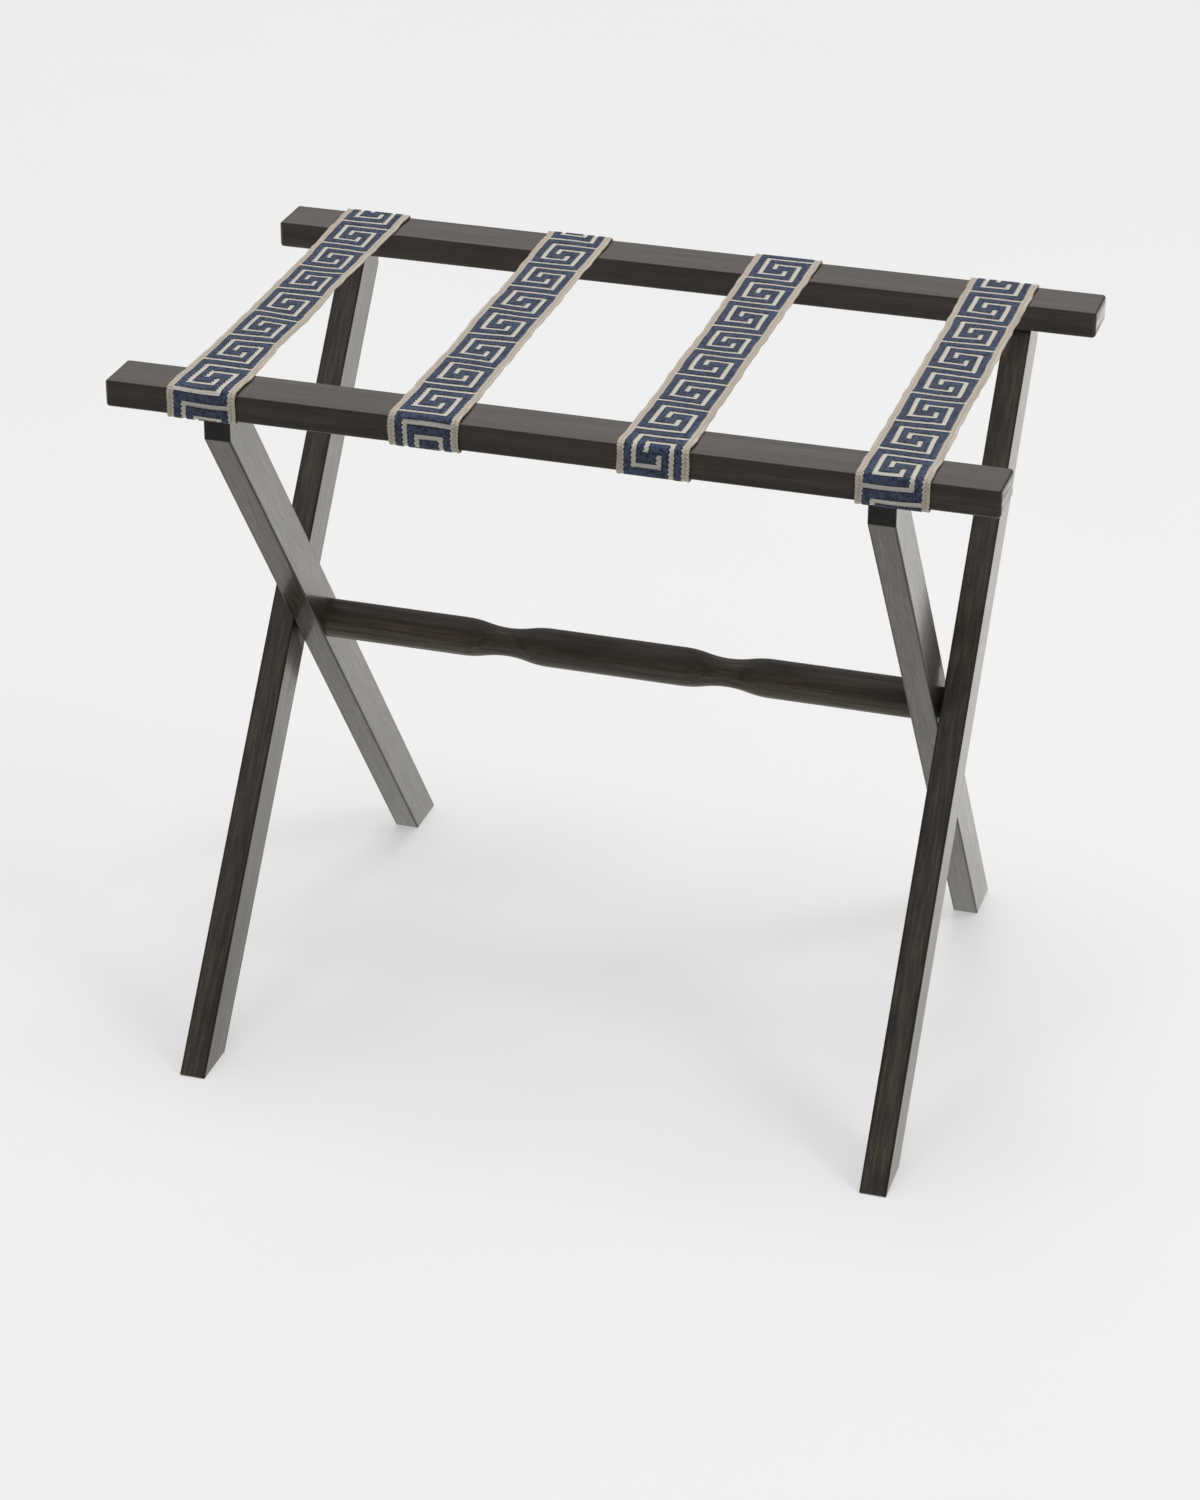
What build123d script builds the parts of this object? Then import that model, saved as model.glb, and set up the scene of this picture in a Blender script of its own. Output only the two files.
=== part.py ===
from build123d import *
import math
import os

# Folding luggage rack: two crossed wooden frames turn on a shared pivot, and four woven straps join their rails.
# Millimetres. X runs along the rails, Y from front to rear, Z up. The origin is on the floor under the middle.

# Rails
RAIL_LENGTH = 610.0
RAIL_DEPTH = 38.0
RAIL_HEIGHT = 19.0
RAIL_SPACING = 322.0
RAIL_TOP = 515.0
RAIL_EDGE_ROUND = 1.2
RAIL_END_ROUND = 2.5

# Legs
LEG_THICKNESS = 19.0
LEG_WIDTH = 32.0
LEG_EDGE_ROUND = 1.0
LEG_INSET = 46.4
LEG_TOP_OFFSET = 7.0
LEG_TRIM_SETBACK = 5.0

# Pivots between the two frames
PIVOT_HEIGHT = 269.0
PIVOT_GAP = 2.6
PIN_DIAMETER = 8.0
PIN_OUTER_DEPTH = 13.0
PIN_STRETCHER_DEPTH = 30.0
PIN_CHAMFER = 0.6
PIN_PRESS_CLEARANCE = 0.02
PIN_RUNNING_CLEARANCE = 0.05
PIN_END_CLEARANCE = 0.4
WASHER_DIAMETER = 22.0
WASHER_SIDE_CLEARANCE = 0.1
WASHER_BORE_CLEARANCE = 0.2

# Turned stretcher between the inner legs
STRETCHER_DIAMETER = 28.0
STRETCHER_MIDDLE = 100.0
NECK_DIAMETER = 20.5
NECK_LENGTH = 64.0

# Straps
STRAP_COUNT = 4
STRAP_WIDTH = 49.0
STRAP_THICKNESS = 1.6
STRAP_CLEARANCE = 0.2
STRAP_TAIL = 16.0
STRAP_LEG_CLEARANCE = 1.0

# Dowels between leg tops and rails
DOWEL_DIAMETER = 6.0
DOWEL_RAIL_DEPTH = 12.0
DOWEL_LEG_DEPTH = 15.0
DOWEL_CHAMFER = 0.6
DOWEL_CLEARANCE = 0.05
DOWEL_END_CLEARANCE = 0.4

# Staples that hold the strap tails under the rails
STAPLE_CROWN = 9.0
STAPLE_WIRE = 0.8
STAPLE_RAIL_DEPTH = 7.0
STAPLE_SETBACK = 10.0
STAPLE_CLEARANCE = 0.05
STAPLE_STRAP_CLEARANCE = 0.2

# Places that follow from the sizes above
RAIL_BOTTOM = RAIL_TOP - RAIL_HEIGHT
RAIL_Y = RAIL_SPACING / 2
RAIL_OUTER_Y = RAIL_Y + RAIL_DEPTH / 2
LEG_REACH = RAIL_Y + LEG_TOP_OFFSET
LEAN = math.atan2(LEG_REACH, RAIL_BOTTOM - PIVOT_HEIGHT)
LEG_HALF_LEVEL = LEG_WIDTH / 2 / math.cos(LEAN)
LEG_TRIM_Y = RAIL_OUTER_Y - LEG_TRIM_SETBACK
LEG_TOP_INNER_Y = LEG_REACH - LEG_HALF_LEVEL
LEG_TOP_OUTER_Y = min(LEG_TRIM_Y, LEG_REACH + LEG_HALF_LEVEL)
FOOT_Y = PIVOT_HEIGHT * math.tan(LEAN)
OUTER_LEG_X = RAIL_LENGTH / 2 - LEG_INSET - LEG_THICKNESS / 2
INNER_LEG_X = OUTER_LEG_X - LEG_THICKNESS - PIVOT_GAP
STRETCHER_HALF = INNER_LEG_X - LEG_THICKNESS / 2
LEG_PAIR_X = (INNER_LEG_X + OUTER_LEG_X) / 2
STRAP_UNDER_Z = RAIL_TOP + STRAP_CLEARANCE
TAIL_UNDER_Z = RAIL_BOTTOM - STRAP_CLEARANCE - STRAP_THICKNESS
TAIL_END_Y = RAIL_OUTER_Y - STRAP_TAIL
LIP_END_Y = LEG_TRIM_Y + STRAP_LEG_CLEARANCE
SIDES = {"left": -1, "right": 1}
FRONT = -1
REAR = 1


def rod_along_x(diameter, x_from, x_to, chamfer_size=0.0):
    """A round bar on the pivot axis between two X places."""
    length = abs(x_to - x_from)
    bar = Cylinder(diameter / 2, length, rotation=(0, 90, 0))
    if chamfer_size:
        bar = chamfer(bar.edges().filter_by(GeomType.CIRCLE), chamfer_size)
    return Pos((x_from + x_to) / 2, 0, PIVOT_HEIGHT) * bar


def strap_centres():
    """X places of the straps, evenly spaced from one pair of legs to the other."""
    pitch = 2 * LEG_PAIR_X / (STRAP_COUNT - 1)
    return [-LEG_PAIR_X + i * pitch for i in range(STRAP_COUNT)]


def leg_x_under(rail_side):
    """X distance from the middle of the legs that stand under a rail."""
    return INNER_LEG_X if rail_side == FRONT else OUTER_LEG_X


def tail_span(centre, rail_side):
    """X range of a strap's tail under a rail. Beside a leg, the tail keeps only its wider part."""
    low = centre - STRAP_WIDTH / 2
    high = centre + STRAP_WIDTH / 2
    reach = LEG_THICKNESS / 2 + STRAP_LEG_CLEARANCE
    for side in SIDES.values():
        leg_x = side * leg_x_under(rail_side)
        if leg_x + reach <= low or leg_x - reach >= high:
            continue
        if leg_x < centre:
            low = leg_x + reach
        else:
            high = leg_x - reach
    return low, high


def staple_places(rail_side):
    """X and Y of each staple under a rail, at the quarter points of each tail."""
    y = rail_side * (RAIL_OUTER_Y - STAPLE_SETBACK)
    places = []
    for centre in strap_centres():
        low, high = tail_span(centre, rail_side)
        for share in (0.25, 0.75):
            places.append((low + share * (high - low), y))
    return places


def staple(x, y, room=0.0):
    """One staple with its crown under the tail and its legs up in the rail, widened by room for its slots."""
    wire = STAPLE_WIRE + 2 * room
    crown_top = TAIL_UNDER_Z - STAPLE_CLEARANCE
    crown_low = crown_top - STAPLE_WIRE - room
    leg_top = RAIL_BOTTOM + STAPLE_RAIL_DEPTH + room
    crown = Box(STAPLE_CROWN + 2 * room, wire, crown_top - crown_low)
    shape = Pos(x, y, (crown_top + crown_low) / 2) * crown
    for side in SIDES.values():
        leg_x = x + side * (STAPLE_CROWN - STAPLE_WIRE) / 2
        shape += Pos(leg_x, y, (leg_top + crown_low) / 2) * Box(wire, wire, leg_top - crown_low)
    return shape


def dowel_places(rail_side):
    """X and Y of each dowel under a rail, at the quarter points of each leg's flat top."""
    width = LEG_TOP_OUTER_Y - LEG_TOP_INNER_Y
    places = []
    for side in SIDES.values():
        for share in (0.25, 0.75):
            y = rail_side * (LEG_TOP_INNER_Y + share * width)
            places.append((side * leg_x_under(rail_side), y))
    return places


def dowel(x, y):
    """One upright dowel across the joint of a leg and its rail."""
    length = DOWEL_RAIL_DEPTH + DOWEL_LEG_DEPTH
    peg = Cylinder(DOWEL_DIAMETER / 2, length)
    peg = chamfer(peg.edges().filter_by(GeomType.CIRCLE), DOWEL_CHAMFER)
    return Pos(x, y, RAIL_BOTTOM + (DOWEL_RAIL_DEPTH - DOWEL_LEG_DEPTH) / 2) * peg


def dowel_hole(x, y):
    """The hole for one dowel, through both pieces that it joins."""
    length = DOWEL_RAIL_DEPTH + DOWEL_LEG_DEPTH + 2 * DOWEL_END_CLEARANCE
    hole = Cylinder(DOWEL_DIAMETER / 2 + DOWEL_CLEARANCE, length)
    return Pos(x, y, RAIL_BOTTOM + (DOWEL_RAIL_DEPTH - DOWEL_LEG_DEPTH) / 2) * hole


def rail(rail_side):
    """A flat rail with rounded ends, dowel holes and staple slots."""
    bar = Box(RAIL_LENGTH, RAIL_DEPTH, RAIL_HEIGHT)
    bar = fillet(bar.edges().filter_by(Axis.X), RAIL_EDGE_ROUND)
    ends = bar.faces().sort_by(Axis.X)
    bar = fillet(ends[0].edges() + ends[-1].edges(), RAIL_END_ROUND)
    bar = Pos(0, rail_side * RAIL_Y, RAIL_BOTTOM + RAIL_HEIGHT / 2) * bar
    for x, y in dowel_places(rail_side):
        bar -= dowel_hole(x, y)
    for x, y in staple_places(rail_side):
        bar -= staple(x, y, STAPLE_CLEARANCE)
    return bar


def leg(x, rail_side):
    """A leaning leg, flat on the floor and under its rail, with the outward top corner cut upright."""
    foot = -rail_side * FOOT_Y
    top = rail_side * LEG_REACH
    outline = Polyline(
        (foot - LEG_HALF_LEVEL, 0),
        (foot + LEG_HALF_LEVEL, 0),
        (top + LEG_HALF_LEVEL, RAIL_BOTTOM),
        (top - LEG_HALF_LEVEL, RAIL_BOTTOM),
        close=True,
    )
    bar = Plane.YZ * make_face(outline)
    bar = Pos(x - LEG_THICKNESS / 2, 0, 0) * extrude(bar, LEG_THICKNESS)
    trim = Box(2 * LEG_THICKNESS, 2 * LEG_WIDTH, RAIL_HEIGHT + RAIL_BOTTOM)
    bar -= Pos(x, rail_side * (LEG_TRIM_Y + LEG_WIDTH), RAIL_BOTTOM) * trim
    eased = bar.edges().filter_by(lambda e: e.center().Z < RAIL_BOTTOM - LEG_EDGE_ROUND)
    bar = fillet(eased, LEG_EDGE_ROUND)
    for hole_x, hole_y in dowel_places(rail_side):
        if abs(hole_x - x) < LEG_THICKNESS:
            bar -= dowel_hole(hole_x, hole_y)
    return bar


def inner_leg(side):
    """An inner leg, from the front rail to a rear foot, bored right through for the pivot pin."""
    bore = PIN_DIAMETER + 2 * PIN_PRESS_CLEARANCE
    through = rod_along_x(bore, side * STRETCHER_HALF, side * (STRETCHER_HALF + LEG_THICKNESS))
    return leg(side * INNER_LEG_X, FRONT) - through


def outer_leg(side):
    """An outer leg, from the rear rail to a front foot, with a blind pivot bore in its inward face."""
    bore = PIN_DIAMETER + 2 * PIN_RUNNING_CLEARANCE
    face = OUTER_LEG_X - LEG_THICKNESS / 2
    blind = rod_along_x(bore, side * face, side * (face + PIN_OUTER_DEPTH + PIN_END_CLEARANCE))
    return leg(side * OUTER_LEG_X, REAR) - blind


def pivot_pin(side):
    """The pin that a stretcher end and an inner leg hold and an outer leg turns on."""
    start = STRETCHER_HALF - PIN_STRETCHER_DEPTH
    end = OUTER_LEG_X - LEG_THICKNESS / 2 + PIN_OUTER_DEPTH
    return rod_along_x(PIN_DIAMETER, side * start, side * end, PIN_CHAMFER)


def pivot_washer(side):
    """The washer that keeps an outer leg off the inner leg."""
    start = STRETCHER_HALF + LEG_THICKNESS
    end = start + PIVOT_GAP - WASHER_SIDE_CLEARANCE
    disc = rod_along_x(WASHER_DIAMETER, side * start, side * end)
    return disc - rod_along_x(PIN_DIAMETER + 2 * WASHER_BORE_CLEARANCE, side * start, side * end)


def neck_curve(side):
    """Half outlines of one neck: a rounded shoulder into a hollow on each side of its waist."""
    full = STRETCHER_DIAMETER / 2
    waist = NECK_DIAMETER / 2
    middle = side * (STRETCHER_MIDDLE + NECK_LENGTH) / 2
    curves = []
    for way in (-1, 1):
        shoulder = (middle + way * NECK_LENGTH / 2, full)
        turn = (middle + way * NECK_LENGTH / 4, (full + waist) / 2)
        curves.append(TangentArc(shoulder, turn, tangent=(-way, 0)))
        curves.append(TangentArc((middle, waist), turn, tangent=(way, 0)))
    return curves


def turned_stretcher():
    """The round bar between the inner legs, turned down to two necks."""
    full = STRETCHER_DIAMETER / 2
    near = STRETCHER_MIDDLE / 2
    far = near + NECK_LENGTH
    lines = [Line((-STRETCHER_HALF, 0), (STRETCHER_HALF, 0)), Line((-near, full), (near, full))]
    for side in SIDES.values():
        end = side * STRETCHER_HALF
        lines.append(Line((end, 0), (end, full)))
        lines.append(Line((end, full), (side * far, full)))
        lines += neck_curve(side)
    outline = make_face(Plane.XZ * Curve(lines))
    bar = Pos(0, 0, PIVOT_HEIGHT) * revolve(outline, Axis.X)
    bore = PIN_DIAMETER + 2 * PIN_PRESS_CLEARANCE
    for side in SIDES.values():
        depth = STRETCHER_HALF - PIN_STRETCHER_DEPTH - PIN_END_CLEARANCE
        bar -= rod_along_x(bore, side * STRETCHER_HALF, side * depth)
    return bar


def strap_profile():
    """Side view of a strap: over both rails, down their outward faces and turned in under them."""
    inner_depth = RAIL_DEPTH + 2 * STRAP_CLEARANCE
    inner_height = RAIL_HEIGHT + 2 * STRAP_CLEARANCE
    inner_round = RAIL_EDGE_ROUND + STRAP_CLEARANCE
    grown = 2 * STRAP_THICKNESS
    sleeve = RectangleRounded(inner_depth + grown, inner_height + grown, inner_round + STRAP_THICKNESS)
    sleeve -= RectangleRounded(inner_depth, inner_height, inner_round)
    band = Rectangle(RAIL_SPACING, STRAP_THICKNESS)
    profile = Pos(0, STRAP_UNDER_Z + STRAP_THICKNESS / 2) * band
    away = Rectangle(TAIL_END_Y, RAIL_TOP, align=(Align.MAX, Align.MIN))
    for side in (FRONT, REAR):
        loop = Pos(side * RAIL_Y, RAIL_TOP - RAIL_HEIGHT / 2) * sleeve
        inward = away if side == REAR else mirror(away, Plane.YZ)
        loop -= Pos(side * TAIL_END_Y, STRAP_UNDER_Z - RAIL_TOP) * inward
        profile += loop
    return profile


def strap(centre):
    """One strap, with its tails cut back where a leg stands under the rail."""
    band = extrude(Plane.YZ * strap_profile(), STRAP_WIDTH)
    band = Pos(centre - STRAP_WIDTH / 2, 0, 0) * band
    edges = (centre - STRAP_WIDTH / 2, centre + STRAP_WIDTH / 2)
    for side in (FRONT, REAR):
        low, high = tail_span(centre, side)
        for kept, edge in ((low, edges[0]), (high, edges[1])):
            if abs(kept - edge) > 0:
                middle_y = side * (LIP_END_Y + TAIL_END_Y) / 2
                gap = Box(abs(kept - edge), LIP_END_Y - TAIL_END_Y, RAIL_HEIGHT)
                band -= Pos((kept + edge) / 2, middle_y, RAIL_BOTTOM - RAIL_HEIGHT / 2) * gap
        for x, y in staple_places(side):
            if edges[0] < x < edges[1]:
                band -= staple(x, y, STAPLE_STRAP_CLEARANCE)
    return band


def build():
    """Every piece of the rack by its name."""
    pieces = {"front_rail": rail(FRONT), "rear_rail": rail(REAR), "turned_stretcher": turned_stretcher()}
    for name, side in SIDES.items():
        pieces[f"inner_leg_{name}"] = inner_leg(side)
        pieces[f"outer_leg_{name}"] = outer_leg(side)
        pieces[f"pivot_pin_{name}"] = pivot_pin(side)
        pieces[f"pivot_washer_{name}"] = pivot_washer(side)
    for name, side in (("front", FRONT), ("rear", REAR)):
        pieces[f"{name}_dowels"] = Compound([dowel(x, y) for x, y in dowel_places(side)])
        pieces[f"{name}_staples"] = Compound([staple(x, y) for x, y in staple_places(side)])
    for number, centre in enumerate(strap_centres(), 1):
        pieces[f"strap_{number}"] = strap(centre)
    return pieces


os.makedirs("parts", exist_ok=True)
for node, shape in build().items():
    export_step(shape, f"parts/{node}.step")
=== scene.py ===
"""Looks of the folding luggage rack: dark stained wood, woven key-pattern straps, pale studio floor."""

import math

import bpy
import numpy as np
from mathutils import Matrix, Vector


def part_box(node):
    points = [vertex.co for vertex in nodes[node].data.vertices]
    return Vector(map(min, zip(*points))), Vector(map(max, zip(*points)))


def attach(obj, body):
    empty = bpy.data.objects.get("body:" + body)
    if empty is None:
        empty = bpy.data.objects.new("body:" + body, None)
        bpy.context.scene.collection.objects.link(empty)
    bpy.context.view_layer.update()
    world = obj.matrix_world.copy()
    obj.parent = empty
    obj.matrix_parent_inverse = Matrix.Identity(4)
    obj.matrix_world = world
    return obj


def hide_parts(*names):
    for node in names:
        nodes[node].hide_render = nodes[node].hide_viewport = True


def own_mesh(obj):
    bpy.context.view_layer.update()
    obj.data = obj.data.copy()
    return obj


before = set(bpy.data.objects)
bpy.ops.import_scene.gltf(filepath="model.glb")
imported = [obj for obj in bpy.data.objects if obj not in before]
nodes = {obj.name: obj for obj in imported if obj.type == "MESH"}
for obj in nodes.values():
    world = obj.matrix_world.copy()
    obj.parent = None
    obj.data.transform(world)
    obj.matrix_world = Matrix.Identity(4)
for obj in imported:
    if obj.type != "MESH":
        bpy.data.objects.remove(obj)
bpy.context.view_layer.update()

# Photo camera: frame and focal length in pixels, place in metres, angles in degrees, sensor in mm
FRAME_LONG = 1500
FOCAL_PIXELS = 3921.6
LENS_CENTRE_RISE = 100
CAMERA_PLACE = (0.71824, -2.40710, 1.51008)
CAMERA_AZIMUTH = 16.893
CAMERA_ELEVATION = 26.190
CAMERA_ROLL = 0.293
SENSOR = 36.0

# One millimetre in metres
MM = 0.001

# Straps: names, and sizes in millimetres
STRAPS = ("strap_1", "strap_2", "strap_3", "strap_4")
THICKNESS = 1.6
CLEARANCE = 0.2
LEG_CLEARANCE = 1.0
TAIL = 16.0
LIP = 4.0
EDGE_INSET = 0.5
FIELD_HALF = 19.4
HEM_GROOVE = 2.2
RELIEF = 0.55
SELVEDGE_DROP = 0.3

# Bends of a strap round a rail, in millimetres, and the steps along its line
STAND_OFF = 1.15
UNDER_SLACK = 1.4
TOP_BEND = 4.6
UNDER_BEND = 4.2
TAIL_BEND = 8.0
TAIL_FLAT = 9.0
LINE_STEP = 0.25
STEPS_IN_BEND = 16

# Grid of a strap's faces, in millimetres, with the heights of its edge as shares of the thickness
ROW_STEP = 4.0
ROW_GAP = 0.15
FINE_ROWS_FROM = 172.0
FINE_ROW_STEP = 1.0
RELIEF_SOFT = 0.2
LINE_GAP = 0.05
EDGE_COLUMN = 0.8
EDGE_NEAR = 0.01
EDGE_TOP = 0.72
EDGE_BOTTOM = 0.28
SEARCH_MARGIN = 2.0
SEARCH_STEP = 0.1
SHARP_DEGREES = 40

# How far a strap lies off flat, square and straight, in millimetres
SAG = 1.0
LIFT = 0.4
TILT = 0.5
CURL = 0.35
SKEW = 0.55
BEND = 0.35
SWAY = 0.3
EDGE_SWAY = 0.22
STILL_LENGTH = 9.0

# Waves along a strap: run in millimetres, and how the phase grows by strap and from middle to edge
STRAP_PHASE = 1.7
LIFT_WAVE = (17.0, 1.0, 0.0)
TILT_WAVE = (23.0, 2.1, 0.0)
CURL_WAVE = (31.0, 0.6, 0.0)
SKEW_WAVE = (21.0, 1.0, 0.0)
BEND_WAVE = (13.0, 1.4, 3.1)
SWAY_WAVE = (8.3, 1.0, 1.5)
EDGE_WAVES = ((5.9, 2.3, 2.0), (3.7, 1.1, -1.3))

# How each hand-fixed strap lies: sideways at its front and rear ends, and its waist between the rails
FRONT_SHIFTS = (3.0, 0.3, -2.3, -3.2)
REAR_SHIFTS = (-2.0, -3.9, -5.6, -6.2)
WAISTS = (0.93, 0.975, 0.965, 0.985)
WAIST_RISE = 1.6

# Twisted yarn along a strap's edges, in millimetres, with its lobes and flatness as shares
EDGE_YARN = 0.85
EDGE_YARN_LOBE = 0.4
EDGE_YARN_FLATNESS = 0.8
EDGE_YARN_INSET = 0.65
EDGE_YARN_COLUMN = 30.0
EDGE_PLY_PITCH = 2.6
EDGE_RING_STEP = 0.5
EDGE_SIDES = 8

# Key pattern of the webbing, in millimetres from the middle of one repeat
REPEAT = 47.6
LINE_ACROSS_HALF = 1.5
LINE_ALONG_HALF = 1.6
KEY_FOOT = 18.9
KEY_STEM = 12.5
KEY_HEAD = 9.2
KEY_HOOK = -4.4
KEY_TIP = 0.5
# Width of the painted shade round the key lines
RIM_SHADE_WIDTH = 0.8

# Uneven edges of the key lines and pitches of the yarns, in millimetres
STRAY_ACROSS = 0.4
STRAY_ALONG = 0.25
TOOTH_PITCH = 3.4
TOOTH = 0.36
NICK_PITCH = 1.3
NICK = 0.1
TWILL_PITCH = 1.0
TWILL_SLANT = 0.45
RIB_ACROSS = 1.1
RIB_ALONG = 1.3

# Where the key pattern lies on each strap, in millimetres, and how its ends are pulled longer
REPEAT_MIDDLES = (32.6, 39.6, 9.6, 26.8)
REPEAT_STRETCHES = (0.988, 1.0, 0.996, 1.02)
FRONT_PULLS = (8.0, 5.5, 6.2, 2.5)
FRONT_PULL_FROM = -125.0
FRONT_PULL_TO = -192.0
REAR_PULL = 1.0
REAR_PULL_FROM = 100.0
REAR_PULL_TO = 180.0

# Legs: lean in degrees, and in metres half the width, the part of an arris given painted shade, and where
# the cut is
LEAN = 36.5
LEG_HALF_WIDTH = 0.016
ARRIS_FROM = 0.0004
ARRIS_TO = 0.0021
CUT_FROM = 0.1746

# Rail ends, in metres: the painted shade line on their edges, the end face's depth, and its streaks of end
# grain
END_ARRIS_FROM = 0.0008
END_ARRIS_TO = 0.0016
END_DEPTH = 0.0004
END_STREAKS = (1.0, 0.05, 0.0027)

# Turned stretcher, in metres: growth rings round a pith along X
RING_WIDTH = 0.0034
RING_WANDER = 0.004
STRETCHER_PITH = (0.0, 0.06, 0.235)

# Scale that takes X out of a distance
LEAVE_OUT_X = (1e6, 1.0, 1.0)

# Marks in the wood: length and width in metres, and detail, with the levels at which pores are pits
BANDS = (0.28, 0.009, 4.0)
FIBRES = (0.05, 0.0011, 3.0)
PORES = (0.012, 0.0005, 2.0)
MOTTLE = (0.10, 0.04, 2.0)
RING_BENDS = (0.14, 0.02, 2.0)
LEG_STREAKS = (0.024, 0.0021, 2.0)
LEG_FLAME = (0.04, 0.010, 3.0)
PIT_LEVELS = (0.58, 0.70)

# Where the marks of each wooden piece start
SEED_SPREAD = (1.0, 0.7, 0.4)
RAIL_SEEDS = {"front_rail": 0.13, "rear_rail": 0.47}
STRETCHER_SEED = 0.71
LEG_SEEDS = {"left": 0.19, "right": 0.83}
OUTER_LEG_SEED = 0.3

# Tones of the wood: levels between which bands go from dark to light, and both shades as picture values
RAIL_TONES = (0.32, 0.68, (46, 39, 32), (80, 71, 58))
LEG_TONES = (0.32, 0.68, (31, 26, 21), (80, 71, 58))
STRETCHER_TONES = (0.32, 0.68, (78, 69, 60), (108, 98, 84))

# Tints in the wood: levels between which they grow (heights in metres for the painted shade on the
# stretcher's top), share and shade
FIBRE_TINT = (0.35, 0.7, 0.7, (37, 31, 26))
MOTTLE_TINT = (0.35, 0.65, 0.4, (64, 57, 49))
PIT_TINT = (0.0, 1.0, 0.6, (20, 17, 15))
RING_TINT = (0.2, 1.0, 0.35, (38, 33, 28))
# Painted shade: the stretcher grows darker towards its top
TOP_PAINTED_SHADE = (0.274, 0.2825, 0.8, (22, 19, 17))
PALE_STREAKS = (0.5, 0.7, 0.5, (94, 83, 65))
DARK_STREAKS = (0.48, 0.3, 0.6, (24, 20, 16))
# Painted shade: dark lines along the rounded edges of the legs and of the rail ends
ARRIS_PAINTED_SHADE = (0.0, 1.0, 0.9, (14, 12, 10))
# Painted shade on the cut at the top of each leg
CUT_PAINTED_SHADE = (0.0, 1.0, 0.8, (20, 18, 17))

# Lacquer, and the gloss of the wood beneath it
COAT = 1.0
COAT_ROUGHNESS = 0.14
COAT_IOR = 1.6
GLOSS = 0.6
STRETCHER_COAT = 0.2
STRETCHER_GLOSS = 0.2

# Thin places in the lacquer: levels between which they grow, and the shares they take away
MOTTLE_THIN = (0.3, 0.7, 0.14)
PIT_THIN = 0.2
FLAME_THIN = (0.35, 0.65, 0.09)
STREAK_THIN = (0.65, 0.35, 0.09)
ARRIS_THIN = (0.0, 1.0, 0.85)
END_GRAIN_DULL = (0.42, 0.58, 0.0, 0.85)
END_ARRIS_DULL = 0.8

# Surface of the wood: how rough fibres and pits are, and how high or deep they and the mottle lie
FIBRE_ROUGHNESS = (0.3, 0.7, 0.28, 0.38)
PIT_ROUGHNESS = 0.15
FIBRE_HEIGHT = 0.4
PIT_DEPTH = 0.6
MOTTLE_HEIGHT = 2.0

# Fine relief: depth in metres and strength, and how far the twill rises over the key lines
GRAIN_RELIEF = (0.0003, 0.12)
LACQUER_RELIEF = (0.0003, 0.05)
BEECH_RELIEF = (0.0002, 0.2)
NYLON_RELIEF = (0.0001, 0.2)
WEAVE_RELIEF = (0.0003, 0.6)
TWILL_RISE = 1.2

# Noise: scale and detail
STRAY_NOISE = (1.2, 1.0)
FLECK_NOISE = (0.9, 3.0)
TUFT_NOISE = (0.5, 1.0)
CLOUD_NOISE = (0.06, 2.0)
STEEL_NOISE = (900.0, 3.0)
NYLON_NOISE = (1500.0, 2.0)
FLOOR_NOISE = (2.0, 3.0)

# Tones of the webbing: levels of the yarns from dark to light, and both shades
BLUE_TONES = (-1.0, 1.0, (40, 51, 77), (90, 105, 136))
CREAM_TONES = (-1.0, 1.0, (196, 191, 182), (228, 224, 216))
HEM_TONES = (-1.0, 1.0, (184, 173, 158), (217, 207, 193))

# Tints in the webbing: levels between which they grow, share and shade
BLUE_FLECK = (0.52, 0.75, 0.4, (122, 127, 138))
BLUE_CLOUD = (0.3, 0.7, 0.3, (50, 60, 84))
BLUE_TUFT = (0.58, 0.36, 0.85, (26, 33, 50))
# Painted shade in a rim round the key lines, where the raised blue steps down to them
BLUE_RIM_PAINTED_SHADE = (0.0, 1.0, 0.8, (17, 22, 35))
CREAM_FLECK = (0.52, 0.75, 0.4, (166, 161, 152))
# Painted shade along a groove in the middle of each hem
HEM_GROOVE_PAINTED_SHADE = (0.6, 0.1, 0.45, (132, 122, 110))

# Tones of the small pieces and the floor, with the streaks of beech along X, Y and Z in metres
BEECH_TONES = (0.35, 0.65, (186, 152, 112), (206, 175, 136))
BEECH_STREAKS = (0.0008, 0.0008, 0.02)
BEECH_DETAIL = 3.0
STEEL_TONES = (0.3, 0.7, (172, 174, 176), (204, 206, 208))
STEEL_ROUGHNESS = (0.3, 0.7, 0.22, 0.4)
NYLON_TONES = (0.3, 0.7, (26, 26, 27), (38, 38, 39))
FLOOR_TONES = (0.3, 0.7, (243, 243, 243), (246, 246, 246))
# Colour of the floor's glow: painted light that shows only in reflections
FLOOR_SHINE = (255, 253, 249)

# Room: its brightness by direction, with the steps to the rear and up between which it changes
ROOM_FRONT = 0.3
ROOM_REAR = 1.0
ROOM_DEPTHS = (-0.9, 0.3)
ROOM_LOW = 0.15
ROOM_HIGH = 0.9
ROOM_HEIGHTS = (0.0, 1.0)
BACKDROP = 0.87

# Floor, in metres: its size, its brightness in the lacquer by depth, and how it melts into the backdrop
FLOOR_HALF = 12.0
FLOOR_DIM = -1.05
FLOOR_BRIGHT = -0.7
DIM_LEVEL = 0.2
FLOOR_NEAR = 0.0
FLOOR_FAR = 0.5
NEAR_LEVEL = 0.62
FLOOR_LIFT = 0.5
LIFT_FROM = 1.2
LIFT_TO = 4.0

# Lamps: places and sizes in metres, power in watts
LAMP_AIM = (0.0, 0.0, 0.2)
LAMP_PLACE = (-0.2, 0.1, 6.0)
LAMP_SIZE = 2.2
LAMP_WATTS = 120
KEY_PLACE = (4.0, -0.25, 4.6)
KEY_SIZE = 1.6
KEY_WATTS = 70
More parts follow.
